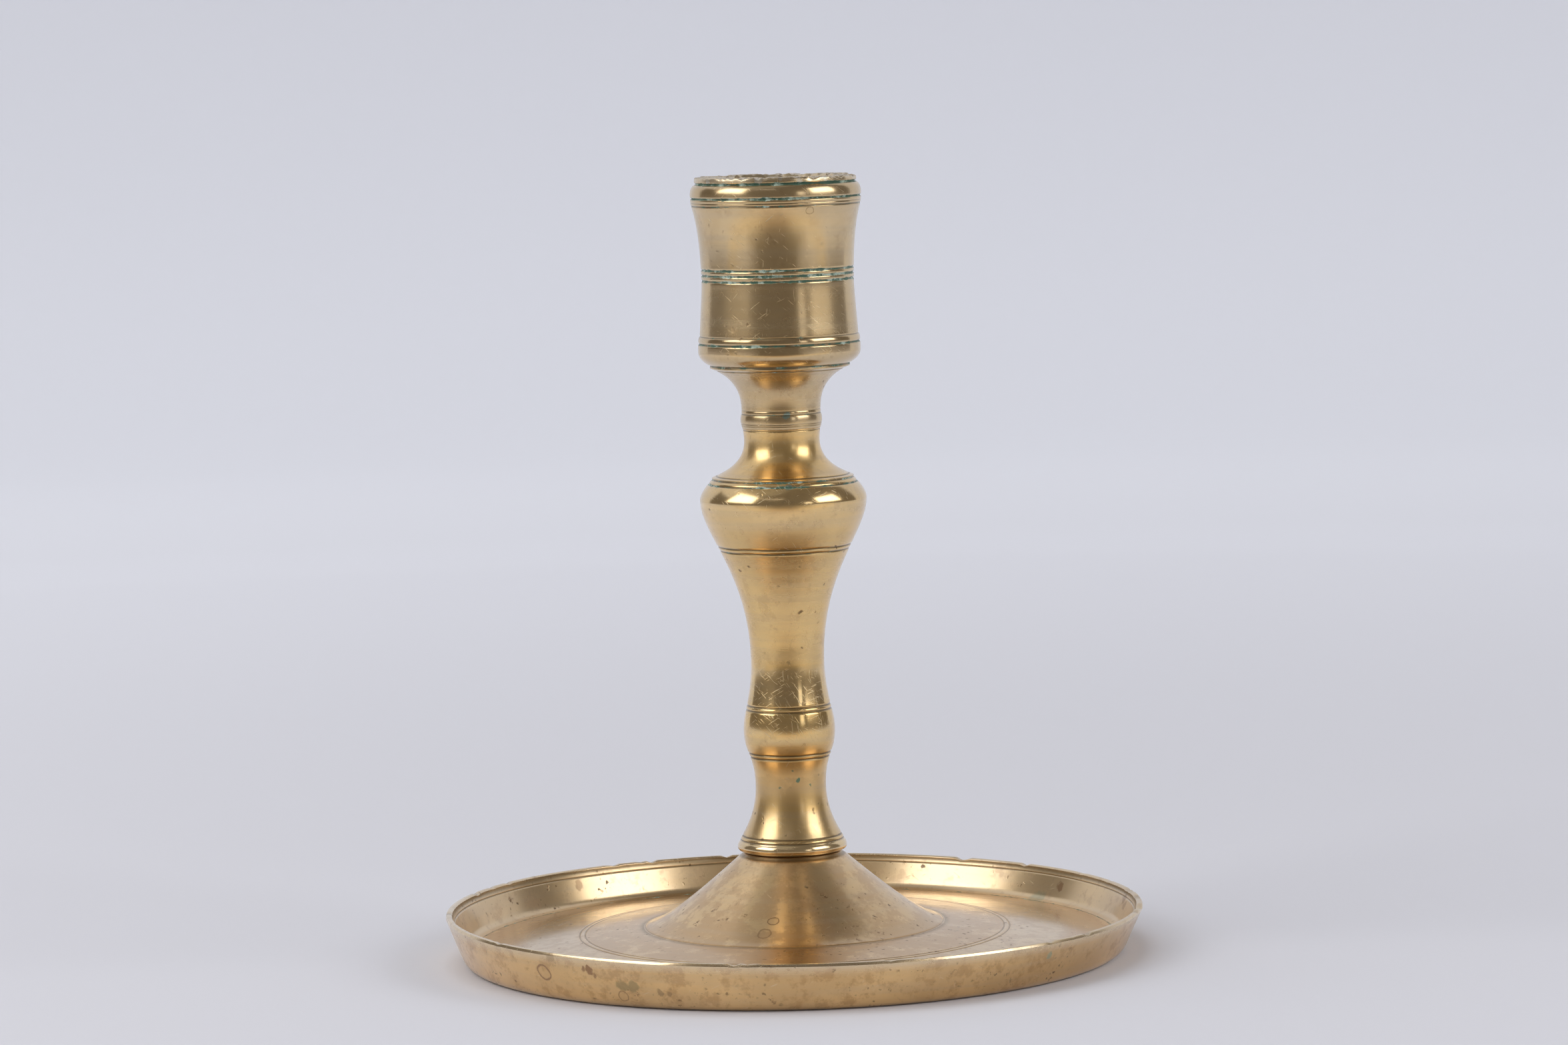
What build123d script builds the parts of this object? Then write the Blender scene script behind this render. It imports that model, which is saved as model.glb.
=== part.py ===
from build123d import *
import os

# Turned brass candlestick: a dish tray with a raised cone, a baluster stem and a candle socket.
# Millimetres, +Z up. Every piece is turned about Z, and the origin is on the axis, on the table.

# Screwed joints: the stem screws down on the tray's crown, and the socket on the stem's neck.
running_clearance = 0.05  # radial gap between a stud and its holes
hole_end_gap = 0.5  # free space past the end of a stud in a blind hole
stud_chamfer = 0.5
foot_stud_radius = 3.0
foot_stud_in_tray = 9.5
foot_stud_in_stem = 10.0
neck_stud_radius = 2.5
neck_stud_in_stem = 9.0
neck_stud_in_socket = 9.0

# Tray: rim, wall and floor
rim_radius = 68.6
tray_height = 10.0
foot_radius = 64.4  # where the flared wall would meet the table
wall_thickness = 1.3  # square to the wall
rim_round = 0.45
foot_round = 2.0
foot_ring_width = 9.0  # flat ring that the tray rests on
floor_edge_height = 2.6  # top of the floor beside the wall
floor_thickness = 2.2
corner_cove = 1.8
floor_rise = 3.4  # the floor climbs this much from the wall to the foot of the cone
floor_score_radius = 41.65
rim_score_drop = 1.25  # scored lines inside the rim, below its top

# Tray: cone, crown and the tapped boss under the crown
cone_foot_radius = 29.6
cone_height = 14.3
cone_sweep = 4.6  # how far in from its foot the cone turns upward
cone_sweep_rise = 0.6
boss_wall = 3.5
boss_length = 11.0
crown_shoulder = 3.05  # crown beyond the boss

# Stem radii, from the seat upward
collar_overhang = 1.1  # collar beyond the crown
collar_fillet_radius = 10.15
lower_neck_radius = 6.89
bulge_radius = 8.95
shaft_radius = 7.15
knop_radius = 16.24
shoulder_radius = 13.9
upper_neck_radius = 7.35
seam_radius = 7.62

# Stem heights, each moulding's own, from the seat upward
collar_bead_height = 2.1
collar_fillet_height = 0.5
lower_cove_height = 10.3
bulge_under_height = 11.3
bulge_over_height = 13.4
knop_under_height = 31.6
knop_over_height = 4.0
shoulder_fillet_height = 0.4
upper_cove_height = 7.1
neck_rise_height = 2.4

# Stem curves: how far from its end each curve's handle stands
lower_cove_reach = 5.06
lower_neck_reach = 6.3
bulge_under_reach = 4.9
bulge_over_reach = 3.15
shaft_under_reach = 6.5
shaft_over_reach = 17.4
knop_under_reach = 6.65
knop_over_reach = 2.5
upper_cove_reach = 2.3
neck_rise_reach = 1.2

# Stem scored lines, measured from the mouldings that they go round
bulge_score_drop = 5.2
bulge_score_rise = 3.7
knop_score_drop = 9.6
shoulder_score_gap = 0.3

# Socket radii, from the seam upward
neck_bead_radius = 7.93
bead_top_radius = 7.74
socket_neck_radius = 7.7
cup_base_radius = 13.62
base_fillet_radius = 13.8
torus_radius = 15.8
ridge_radius = 15.73
wall_foot_radius = 15.42
waist_radius = 14.81
wall_top_radius = 16.5
lip_radius = 16.62
rim_band_radius = 15.78
candle_radius = 11.5
groove_depth = 0.35
mouth_chamfer = 0.6
rim_edge_round = 0.45

# Socket heights, each moulding's own, from the seam upward
neck_bead_height = 2.9
neck_fillet_height = 0.9
cup_cove_height = 8.1
base_fillet_height = 0.6
torus_under_height = 2.6
torus_over_height = 1.7
ridge_height = 1.4
wall_low_height = 9.5
wall_high_height = 15.9
lip_fillet_height = 1.4
lip_bead_height = 2.75
rim_band_height = 1.25
cup_floor_thickness = 6.1  # solid metal between the cup's base and the candle
groove_half_width = 0.25
waist_score_rise = 2.25

# Socket curves
cup_cove_reach = 2.3
torus_reach = 1.1
ridge_reach = 0.4
wall_low_reach = 8.6
wall_high_reach = 5.1
lip_reach = 0.5

# Scored lines: fine V cuts in rings, two or three side by side
score_width = 0.36
score_depth = 0.18
score_pitch = 0.9

# Levels of the tray
cone_foot_level = floor_edge_height + floor_rise
crown_level = cone_foot_level + cone_height

# Levels of the stem
collar_level = crown_level + collar_bead_height
lower_cove_level = collar_level + collar_fillet_height
lower_neck_level = lower_cove_level + lower_cove_height
bulge_level = lower_neck_level + bulge_under_height
shaft_level = bulge_level + bulge_over_height
knop_level = shaft_level + knop_under_height
shoulder_level = knop_level + knop_over_height
upper_cove_level = shoulder_level + shoulder_fillet_height
upper_neck_level = upper_cove_level + upper_cove_height
seam_level = upper_neck_level + neck_rise_height

# Levels of the socket
bead_top_level = seam_level + neck_bead_height
socket_neck_level = bead_top_level + neck_fillet_height
cup_base_level = socket_neck_level + cup_cove_height
torus_foot_level = cup_base_level + base_fillet_height
torus_level = torus_foot_level + torus_under_height
base_groove_level = torus_level + torus_over_height
ridge_top_level = base_groove_level + ridge_height
waist_level = ridge_top_level + wall_low_height
wall_top_level = waist_level + wall_high_height
lip_groove_level = wall_top_level + lip_fillet_height
rim_groove_level = lip_groove_level + lip_bead_height
top_level = rim_groove_level + rim_band_height
candle_floor_level = cup_base_level + cup_floor_thickness

# Radii that follow from the fits
foot_hole_radius = foot_stud_radius + running_clearance
neck_hole_radius = neck_stud_radius + running_clearance
boss_radius = foot_hole_radius + boss_wall
crown_radius = boss_radius + crown_shoulder
collar_radius = crown_radius + collar_overhang


def turned(*edges):
    """The solid that a closed outline of (radius, height) edges makes when it is turned about Z."""
    return revolve(Plane.XZ * make_face(Curve() + list(edges)), Axis.Z)


def sweep(upright, edge, reach):
    """A cove or a swell: it leaves one point straight up or down and bends over to the other."""
    bend = reach if upright[1] > edge[1] else -reach
    return Bezier(upright, (upright[0], edge[1] + bend), edge)


def ogee(low, high, low_reach, high_reach):
    """An S curve that is upright at both ends."""
    return Bezier(low, (low[0], low[1] + low_reach), (high[0], high[1] - high_reach), high)


def under(point, run_before, run_after):
    """A point of the tray's upper face moved down by the floor's thickness, square to both runs."""
    before = Vector(-run_before.Y, run_before.X).normalized()
    after = Vector(-run_after.Y, run_after.X).normalized()
    return point + (before + after) * (floor_thickness / (1 + before.dot(after)))


def scored(outline, line):
    """A ring that cuts a fine V into a turned face, where the face's outline meets a line."""
    spot = outline.find_intersection_points(line)[0]
    along = outline.tangent_at(spot)
    edge = along * (score_width / 2)
    depth = Vector(-along.Y, along.X) * score_depth
    return turned(Polyline(spot + edge, spot + depth, spot - edge, spot - depth, close=True))


def score_levels(outline, level, count):
    """Scored lines side by side round a level."""
    levels = [level + score_pitch * (place - (count - 1) / 2) for place in range(count)]
    return [scored(outline, Axis((0, each, 0), (1, 0, 0))) for each in levels]


def tray():
    """One casting: flared wall, gently rising floor, cone, and a boss under the crown for the stud."""
    wall_run = Vector(rim_radius - foot_radius, tray_height)
    wall_width = wall_thickness * wall_run.length / tray_height
    wall_foot = foot_radius + wall_run.X * floor_edge_height / tray_height - wall_width
    corner = Vector(wall_foot, floor_edge_height)
    rim = Vector(rim_radius - wall_width, tray_height)
    cone_foot = Vector(cone_foot_radius, cone_foot_level)
    cone_bend = cone_foot + Vector(-cone_sweep, cone_sweep_rise)
    crown = Vector(crown_radius, crown_level)
    ring_inner = foot_radius - foot_round - foot_ring_width
    boss_end = crown_level - boss_length

    floor_run = cone_foot - corner
    sweep_run = cone_bend - cone_foot
    cone_run = crown - cone_bend
    under_foot = under(cone_foot, floor_run, sweep_run)
    under_bend = under(cone_bend, sweep_run, cone_run)
    under_crown = under(crown, cone_run, cone_run)
    ring_step = under_foot.Y + (ring_inner - under_foot.X) * floor_run.Y / floor_run.X

    cone = Bezier(crown, cone_bend, cone_foot)
    dish = FilletPolyline(
        cone_foot,
        corner,
        rim,
        (rim_radius, tray_height),
        (foot_radius, 0),
        (ring_inner, 0),
        radius=[corner_cove, rim_round, rim_round, foot_round],
    )
    underside = Polyline((ring_inner, 0), (ring_inner, ring_step), under_foot)
    hollow = Bezier(under_foot, under_bend, under_crown)
    boss = Polyline(
        under_crown,
        (boss_radius, under_crown.Y),
        (boss_radius, boss_end),
        (foot_hole_radius, boss_end),
        (foot_hole_radius, crown_level),
        crown,
    )
    floor_radii = [floor_score_radius - score_pitch / 2, floor_score_radius + score_pitch / 2]
    scores = [scored(Line(cone_foot, corner), Axis((radius, 0, 0), (0, 1, 0))) for radius in floor_radii]
    scores += score_levels(Line(corner, rim), tray_height - rim_score_drop, 2)
    return turned(cone, dish, underside, hollow, boss) - scores


def stem():
    """Solid turned baluster with a blind hole for a stud at each end."""
    seat = (crown_radius, crown_level)
    collar = (collar_radius, crown_level + collar_bead_height / 2)
    collar_top = (collar_fillet_radius, collar_level)
    cove_foot = (collar_fillet_radius, lower_cove_level)
    lower_neck = (lower_neck_radius, lower_neck_level)
    bulge = (bulge_radius, bulge_level)
    shaft = (shaft_radius, shaft_level)
    knop = (knop_radius, knop_level)
    shoulder = (shoulder_radius, shoulder_level)
    cove_edge = (shoulder_radius, upper_cove_level)
    upper_neck = (upper_neck_radius, upper_neck_level)
    seam = (seam_radius, seam_level)
    foot_hole_end = crown_level + foot_stud_in_stem + hole_end_gap
    neck_hole_end = seam_level - neck_stud_in_stem - hole_end_gap

    bulge_under = ogee(lower_neck, bulge, lower_neck_reach, bulge_under_reach)
    bulge_over = ogee(bulge, shaft, bulge_over_reach, shaft_under_reach)
    knop_under = ogee(shaft, knop, shaft_over_reach, knop_under_reach)
    knop_over = sweep(knop, shoulder, knop_over_reach)
    upper_cove = sweep(upper_neck, cove_edge, upper_cove_reach)
    body = turned(
        ThreePointArc(seat, collar, collar_top),
        Line(collar_top, cove_foot),
        sweep(lower_neck, cove_foot, lower_cove_reach),
        bulge_under,
        bulge_over,
        knop_under,
        knop_over,
        Line(shoulder, cove_edge),
        upper_cove,
        sweep(upper_neck, seam, neck_rise_reach),
        Polyline(
            seam,
            (neck_hole_radius, seam_level),
            (neck_hole_radius, neck_hole_end),
            (0, neck_hole_end),
            (0, foot_hole_end),
            (foot_hole_radius, foot_hole_end),
            (foot_hole_radius, crown_level),
            seat,
        ),
    )
    scores = score_levels(bulge_under, bulge_level - bulge_score_drop, 2)
    scores += score_levels(bulge_over, bulge_level + bulge_score_rise, 2)
    scores += score_levels(knop_under, knop_level - knop_score_drop, 2)
    scores += score_levels(knop_over, shoulder_level - shoulder_score_gap, 1)
    scores += score_levels(upper_cove, upper_cove_level + shoulder_score_gap, 1)
    return body - scores


def groove(below, above, level, depth):
    """A turned V groove between two radii, narrow enough to stand between its neighbours."""
    root = min(below, above) - depth
    return Polyline((below, level - groove_half_width), (root, level), (above, level + groove_half_width))


def socket():
    """Candle cup with its neck: the bore is open at the top, and a stud hole comes up from the seam."""
    seam = (seam_radius, seam_level)
    bead_top = (bead_top_radius, bead_top_level)
    neck = (socket_neck_radius, socket_neck_level)
    cup_base = (cup_base_radius, cup_base_level)
    torus_foot = (base_fillet_radius, torus_foot_level)
    torus = (torus_radius, torus_level)
    torus_top = (torus_radius, base_groove_level - groove_half_width)
    ridge_foot = (ridge_radius, base_groove_level + groove_half_width)
    ridge_top = (wall_foot_radius, ridge_top_level)
    waist = (waist_radius, waist_level)
    wall_top = (wall_top_radius, wall_top_level)
    lip_foot = (lip_radius, lip_groove_level + groove_half_width)
    lip_top = (rim_band_radius, rim_groove_level - groove_half_width)
    band_foot = (rim_band_radius, rim_groove_level + groove_half_width)
    stud_hole_end = seam_level + neck_stud_in_socket + hole_end_gap

    wall_high = sweep(waist, wall_top, wall_high_reach)
    body = turned(
        ThreePointArc(seam, (neck_bead_radius, (seam_level + bead_top_level) / 2), bead_top),
        Line(bead_top, neck),
        sweep(neck, cup_base, cup_cove_reach),
        Line(cup_base, torus_foot),
        sweep(torus, torus_foot, torus_reach),
        Line(torus, torus_top),
        groove(torus_radius, ridge_radius, base_groove_level, groove_depth),
        sweep(ridge_foot, ridge_top, ridge_reach),
        sweep(waist, ridge_top, wall_low_reach),
        wall_high,
        Line(wall_top, (lip_radius, lip_groove_level - groove_half_width)),
        groove(lip_radius, lip_radius, lip_groove_level, groove_depth),
        sweep(lip_foot, lip_top, lip_reach),
        groove(rim_band_radius, rim_band_radius, rim_groove_level, groove_depth),
        FilletPolyline(
            band_foot,
            (rim_band_radius, top_level),
            (candle_radius + mouth_chamfer, top_level),
            radius=[rim_edge_round],
        ),
        Polyline(
            (candle_radius + mouth_chamfer, top_level),
            (candle_radius, top_level - mouth_chamfer),
            (candle_radius, candle_floor_level),
            (0, candle_floor_level),
            (0, stud_hole_end),
            (neck_hole_radius, stud_hole_end),
            (neck_hole_radius, seam_level),
            seam,
        ),
    )
    return body - score_levels(wall_high, waist_level + waist_score_rise, 3)


def stud(radius, low, high):
    """A headless stud, chamfered at both ends."""
    return turned(
        Polyline(
            (0, low),
            (radius - stud_chamfer, low),
            (radius, low + stud_chamfer),
            (radius, high - stud_chamfer),
            (radius - stud_chamfer, high),
            (0, high),
            (0, low),
        )
    )


pieces = {
    "tray": tray(),
    "foot_stud": stud(foot_stud_radius, crown_level - foot_stud_in_tray, crown_level + foot_stud_in_stem),
    "stem": stem(),
    "neck_stud": stud(neck_stud_radius, seam_level - neck_stud_in_stem, seam_level + neck_stud_in_socket),
    "socket": socket(),
}

os.makedirs("parts", exist_ok=True)
for name, solid in pieces.items():
    export_step(solid, f"parts/{name}.step")
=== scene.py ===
import math

import bmesh
import bpy
from mathutils import Euler, Matrix, Vector, noise


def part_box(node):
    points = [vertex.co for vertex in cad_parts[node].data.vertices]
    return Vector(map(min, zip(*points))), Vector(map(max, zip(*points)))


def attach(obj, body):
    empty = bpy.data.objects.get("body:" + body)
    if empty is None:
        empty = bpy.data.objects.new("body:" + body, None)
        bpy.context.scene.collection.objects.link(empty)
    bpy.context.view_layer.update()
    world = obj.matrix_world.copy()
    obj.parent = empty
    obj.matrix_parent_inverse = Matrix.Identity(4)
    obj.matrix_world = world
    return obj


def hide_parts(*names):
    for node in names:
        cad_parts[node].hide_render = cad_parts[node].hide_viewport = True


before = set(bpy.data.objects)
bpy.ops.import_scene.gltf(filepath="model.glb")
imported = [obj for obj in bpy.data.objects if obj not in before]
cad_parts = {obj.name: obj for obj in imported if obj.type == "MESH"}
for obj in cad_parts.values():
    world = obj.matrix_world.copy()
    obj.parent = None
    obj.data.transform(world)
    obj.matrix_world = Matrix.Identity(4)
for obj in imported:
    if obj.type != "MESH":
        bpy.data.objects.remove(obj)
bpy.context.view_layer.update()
mm = 0.001
print("frame loaded:", ", ".join(sorted(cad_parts)))


# turning: an outline of (radius, height) in mm is drawn, grooved and spun about Z

layers = ("groove", "green", "dull", "brown", "worn", "pale")  # painted on an outline, read by its brass
turning = {
    "sharpCorner": 0.35,  # radians
    "zoneFade": 0.6,  # mm
    "spill": 1.3,  # how far verdigris spreads, in half widths of its groove
    "grooveSplit": 3.5,  # least number of edges in a half width
    # the grime and painted shade a groove holds grow with its depth
    "leastGrimeAndShade": 0.3,
    "grimeAndShadeDepth": 0.2,  # mm
    "sectors": 16,
}


def drawOutline(start, strokes, detail):  # a stroke is up to two handles and an end point
    curve = bpy.data.curves.new("outline", "CURVE")
    curve.dimensions = "3D"
    spline = curve.splines.new("BEZIER")
    spline.resolution_u = detail
    spline.bezier_points.add(len(strokes))
    for knot in spline.bezier_points:
        knot.handle_left_type = knot.handle_right_type = "FREE"
    spline.bezier_points[0].co = Vector((start[0], 0, start[1])) * mm
    for before, after, stroke in zip(spline.bezier_points, spline.bezier_points[1:], strokes):
        *handles, end = [Vector((radius, 0, height)) * mm for radius, height in stroke]
        after.co = end
        if len(handles) == 2:
            before.handle_right, after.handle_left = handles
        elif len(handles) == 1:  # one handle stands for both, as in a quadratic curve
            before.handle_right = before.co.lerp(handles[0], 2 / 3)
            after.handle_left = end.lerp(handles[0], 2 / 3)
        else:
            before.handle_right_type = after.handle_left_type = "VECTOR"
    outline = bpy.data.objects.new("outline", curve)
    bpy.context.scene.collection.objects.link(outline)
    drawn = outline.evaluated_get(bpy.context.evaluated_depsgraph_get())
    mesh = bpy.data.meshes.new_from_object(drawn)
    bm = bmesh.new()
    bm.from_mesh(mesh)
    bmesh.ops.remove_doubles(bm, verts=bm.verts[:], dist=1e-7)
    bpy.data.objects.remove(outline)
    bpy.data.curves.remove(curve)
    bpy.data.meshes.remove(mesh)
    return bm


def easeCorners(bm, width):
    corners = [v for v in bm.verts if v.calc_edge_angle(0) > turning["sharpCorner"]]
    bmesh.ops.bevel(bm, geom=corners, offset=width * mm, offset_type="OFFSET", segments=3, profile=0.5,
                    affect="VERTICES", material=-1, clamp_overlap=True)


def splitLong(bm, limit, isNear=None):
    while True:
        longEdges = [e for e in bm.edges if e.calc_length() > limit * mm and (isNear is None or isNear(e))]
        if not longEdges:
            return
        bmesh.ops.subdivide_edges(bm, edges=longEdges, cuts=1)


def cutGroove(bm, at, into, width, depth, green):  # a V with eased lips, at the outline's nearest point
    spot = Vector((at[0], 0, at[1])) * mm
    reach = width * mm
    spill = reach * turning["spill"]
    shortEdge = width / turning["grooveSplit"]
    splitLong(bm, shortEdge, lambda e: min((v.co - spot).length for v in e.verts) < spill)
    spot = min((v.co.copy() for v in bm.verts), key=lambda co: (co - spot).length)
    grooveLayer = bm.verts.layers.float["groove"]
    greenLayer = bm.verts.layers.float["green"]
    push = Vector((into[0], 0, into[1])).normalized() * depth * mm
    held = min(1, turning["leastGrimeAndShade"] + depth / turning["grimeAndShadeDepth"])  # a shallow groove holds less grime and painted shade
    for v in bm.verts:
        away = (v.co - spot).length
        if away < spill:
            v[greenLayer] = max(v[greenLayer], green * (1 - away / spill))
        if away < reach:
            share = 1 - away / reach
            v.co += push * share ** 2
            v[grooveLayer] = max(v[grooveLayer], held * share)


def turn(bm, steps):  # one sector is spun, then copied round
    sectors = turning["sectors"]
    sector = 2 * math.pi / sectors
    bmesh.ops.spin(bm, geom=bm.verts[:] + bm.edges[:], cent=(0, 0, 0), axis=(0, 0, 1), dvec=(0, 0, 0),
                   angle=sector, steps=steps // sectors, use_merge=False, use_normal_flip=False,
                   use_duplicate=False)
    bmesh.ops.spin(bm, geom=bm.verts[:] + bm.edges[:] + bm.faces[:], cent=(0, 0, 0), axis=(0, 0, 1),
                   dvec=(0, 0, 0), angle=sector * (sectors - 1), steps=sectors - 1, use_merge=False,
                   use_normal_flip=False, use_duplicate=True)
    bmesh.ops.remove_doubles(bm, verts=bm.verts[:], dist=1e-6)
    bmesh.ops.recalc_face_normals(bm, faces=bm.faces[:])


def turnedBlank(shape):
    bm = drawOutline(shape["start"], shape["strokes"], shape["detail"])
    for layer in layers:
        bm.verts.layers.float.new(layer)
    easeCorners(bm, shape["cornerEase"])
    splitLong(bm, shape["longestEdge"])
    for at, into, width, depth, green in shape["grooves"]:
        cutGroove(bm, at, into, width, depth, green)
    return bm


def paintZones(bm, name, zones, measure):  # zones of (from, to, amount) in mm, measured by height or radius
    layer = bm.verts.layers.float[name]
    fade = turning["zoneFade"]
    for v in bm.verts:
        where = measure(v.co) / mm
        for low, high, amount in zones:
            inside = min(1, max(0, (where - low) / fade)) * min(1, max(0, (high - where) / fade))
            v[layer] = max(v[layer], amount * inside)


def addMesh(name, bm, material):
    for face in bm.faces:
        face.smooth = True
    mesh = bpy.data.meshes.new(name)
    bm.to_mesh(mesh)
    bm.free()
    mesh.materials.append(material)
    item = bpy.data.objects.new(name, mesh)
    bpy.context.scene.collection.objects.link(item)
    return item


def addPiece(name, bm, material, body, node):
    piece = addMesh(name, bm, material)
    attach(piece, body)
    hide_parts(node)
    print(name, "has", len(piece.data.polygons), "faces")


def ripple(angle, lobes, seed):  # smooth noise round a ring, from -1 to 1, with about this many lobes
    reach = lobes / 3  # a lobe is about two cells of noise long
    return noise.noise(Vector((math.cos(angle) * reach, math.sin(angle) * reach, seed)))


# brass: each piece has a look of its own, and all share one patina

patina = {  # a band is the stretch of a noise or a layer over which a mark fades in
    "rings": {"drift": 0.02, "detail": 2},
    "clouds": {"detail": 5, "band": (0.40, 0.64)},
    "blotches": {"finer": 5, "detail": 7, "roughness": 0.7, "browned": 0.2, "band": (0.51, 0.64)},
    "haze": {"drift": 0.06, "scale": 520.0, "detail": 4, "band": (0.38, 0.70)},
    "bleached": (0.86, 0.79, 0.63),
    "swarm": {"scale": 75.0, "detail": 2, "band": (0.42, 0.62), "least": 0.15},
    "flecks": {"scale": 620.0, "detail": 5, "roughness": 0.75, "band": (0.60, 0.66),
               "tone": (0.30, 0.16, 0.07)},
    "shake": {"scale": 420.0, "detail": 3, "reach": 0.0011, "ringShare": 0.4},
    "stain": {"disc": 0.6, "ring": 0.88, "hole": (0.66, 0.82),  # shares of its radius
              "inside": 0.12},  # strength left inside a ring
    # grime and painted shade in the grooves: darker in deeper ones, with a painted shadow under the stem's
    # collar
    "grimeAndShade": {"band": (0.25, 0.85), "tone": (0.10, 0.075, 0.035)},
    "green": {"scale": 330.0, "detail": 6, "roughness": 0.7, "noise": (0.3, 0.7), "shift": (-0.3, 0.3),
              "band": (0.36, 0.50), "edge": (0.03, 0.12), "tone": (0.055, 0.12, 0.075)},
    "crust": {"scale": 380.0, "detail": 6, "roughness": 0.75, "band": (0.50, 0.60),
              "tone": (0.45, 0.54, 0.44)},
    "pits": {"scale": 700.0, "band": (0.30, 0.12), "pick": 0.02, "dark": 0.75, "tone": (0.15, 0.085, 0.04)},
    "scratches": {"size": (0.0034, 0.0034, 0.00016), "tilt": 0.4, "twist": 1.7, "worn": 0.06,
                  "band": (0.745, 0.79), "tone": (0.90, 0.76, 0.52), "relief": 0.4},
    "rough": {"haze": (0.92, 1.4), "pits": 0.25, "grimeAndShade": 0.25, "stains": 0.10, "scratches": 0.30,
              "green": 0.5},
    "coatRoughness": 0.13,
    "lathe": 0.25,  # turn of the brushing, so that its lines run round the piece
    "waveDetail": 2,
}


def addNode(tree, kind, inputs=None, **settings):
    node = tree.nodes.new("ShaderNode" + kind)
    for key, value in settings.items():
        setattr(node, key, value)
    for key, value in (inputs or {}).items():
        if isinstance(value, bpy.types.NodeSocket):
            tree.links.new(value, node.inputs[key])
        else:
            node.inputs[key].default_value = value
    return node


def mixColour(tree, factor, first, second):
    node = addNode(tree, "Mix", data_type="RGBA")
    for socket, value in zip((node.inputs[0], node.inputs[6], node.inputs[7]), (factor, first, second)):
        if isinstance(value, bpy.types.NodeSocket):
            tree.links.new(value, socket)
        else:
            socket.default_value = value if socket is node.inputs[0] else (*value, 1)
    return node.outputs[2]


def math2(tree, operation, first, second):
    return addNode(tree, "Math", {0: first, 1: second}, operation=operation).outputs[0]


def ramp(tree, value, low, high, bottom=0.0, top=1.0):  # smooth step between two values
    return addNode(tree, "MapRange", {"Value": value, "From Min": low, "From Max": high, "To Min": bottom,
                                      "To Max": top}, interpolation_type="SMOOTHSTEP").outputs[0]


def speckle(tree, place, scale, detail, roughness=0.6):
    inputs = {"Vector": place, "Scale": scale, "Detail": detail, "Roughness": roughness}
    return addNode(tree, "TexNoise", inputs)


def specks(tree, place, mark):  # the noise that one kind of mark follows
    settings = {key: mark[key] for key in ("scale", "detail", "roughness") if key in mark}
    return speckle(tree, place, **settings).outputs["Fac"]


def lathePlace(tree, place, drift):  # radius and height, with a little drift across the piece
    parts = addNode(tree, "SeparateXYZ", {0: place}).outputs
    flat = addNode(tree, "CombineXYZ", {0: parts[0], 1: parts[1]}).outputs[0]
    radius = addNode(tree, "VectorMath", {0: flat}, operation="LENGTH").outputs["Value"]
    drifted = math2(tree, "MULTIPLY", parts[0], drift)
    return addNode(tree, "CombineXYZ", {0: radius, 1: parts[2], 2: drifted}).outputs[0]


def shakenPlaces(tree, place):  # uneven places for discs and pits, and steadier ones for rings
    mark = patina["shake"]
    shake = speckle(tree, place, mark["scale"], mark["detail"]).outputs["Color"]
    reach = (mark["reach"],) * 3
    span = (2 * mark["reach"],) * 3
    spread = addNode(tree, "VectorMath", {0: shake, 1: span, 2: place}, operation="MULTIPLY_ADD").outputs[0]
    shaken = addNode(tree, "VectorMath", {0: spread, 1: reach}, operation="SUBTRACT").outputs[0]
    steady = addNode(tree, "Mix", {0: mark["ringShare"], 4: place, 5: shaken}, data_type="VECTOR").outputs[1]
    return shaken, steady


def metalTone(tree, place, look, share):  # gold, tarnish in clouds and blotches, haze along the brushing
    mark = patina["clouds"]
    clouds = speckle(tree, place, look["cloudScale"], mark["detail"]).outputs["Fac"]
    clouds = ramp(tree, clouds, *mark["band"], 0, look["tarnish"])
    mark = patina["blotches"]
    scale = look["cloudScale"] * mark["finer"]
    blotches = speckle(tree, place, scale, mark["detail"], mark["roughness"]).outputs["Fac"]
    blotches = math2(tree, "ADD", blotches, math2(tree, "MULTIPLY", share["brown"], mark["browned"]))
    blotches = ramp(tree, blotches, *mark["band"], 0, look["blotch"])
    mark = patina["haze"]
    haze = specks(tree, lathePlace(tree, place, mark["drift"]), mark)
    haze = ramp(tree, haze, *mark["band"], 0, look["haze"])
    colour = mixColour(tree, clouds, look["gold"], look["deep"])
    colour = mixColour(tree, blotches, colour, look["brown"])
    colour = mixColour(tree, haze, colour, look["grey"])
    return mixColour(tree, share["pale"], colour, patina["bleached"]), blotches, haze


def addFlecks(tree, colour, place, look, swarm):
    mark = patina["flecks"]
    flecks = ramp(tree, specks(tree, place, mark), *mark["band"], 0, look["flecks"])
    return mixColour(tree, math2(tree, "MULTIPLY", flecks, swarm), colour, mark["tone"])


def addStains(tree, colour, stained, look, shaken, steady):  # an uneven disc or a thin ring round a point
    mark = patina["stain"]
    for centre, size, hollow, tint, strength in look["stains"]:
        point = tuple(c * mm for c in centre)
        rim = size * mm
        away = addNode(tree, "VectorMath", {0: steady if hollow else shaken, 1: point}, operation="DISTANCE")
        away = away.outputs["Value"]
        mask = ramp(tree, away, rim, rim * (mark["ring"] if hollow else mark["disc"]), 0, strength)
        if hollow:
            hole = ramp(tree, away, *[rim * part for part in mark["hole"]], mark["inside"])
            mask = math2(tree, "MULTIPLY", mask, hole)
        colour = mixColour(tree, mask, colour, tint)
        stained = math2(tree, "MAXIMUM", stained, mask)
    return colour, stained


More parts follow.
